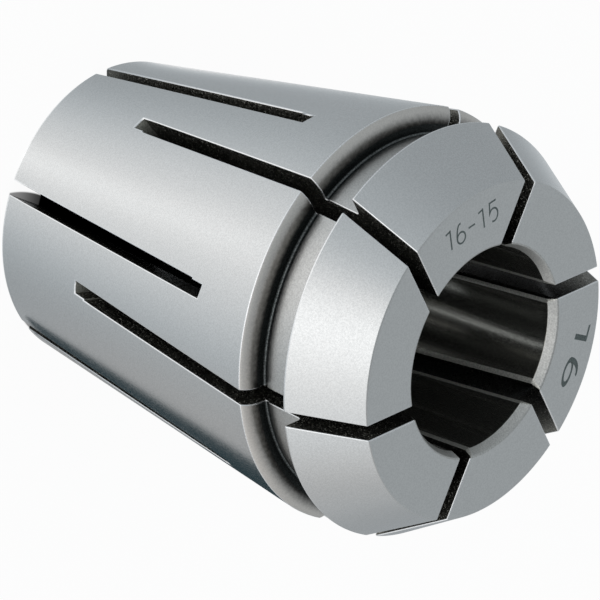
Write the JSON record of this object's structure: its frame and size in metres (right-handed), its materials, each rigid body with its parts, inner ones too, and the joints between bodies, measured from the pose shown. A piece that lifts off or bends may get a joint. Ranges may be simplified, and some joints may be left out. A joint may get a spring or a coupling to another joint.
{
  "type": "er collet",
  "caption": "Spring collet for a round shank: an 8 degree tapered steel sleeve sawn by slots from both ends in turn, with a nut groove and a coned head.",
  "frame": {"origin": "centre of the small rear face, where the collet stands on a surface", "axes": "+Z along the bore axis from the rear face to the nose; +X along the radius that one front slot runs beside"},
  "size_m": [0.033, 0.033, 0.04],
  "materials": {
    "spring_steel": "hardened spring steel, satin ground, dark in the sawn slots"
  },
  "bodies": {
    "root": {"collet": "spring_steel"}
  },
  "joints": []
}
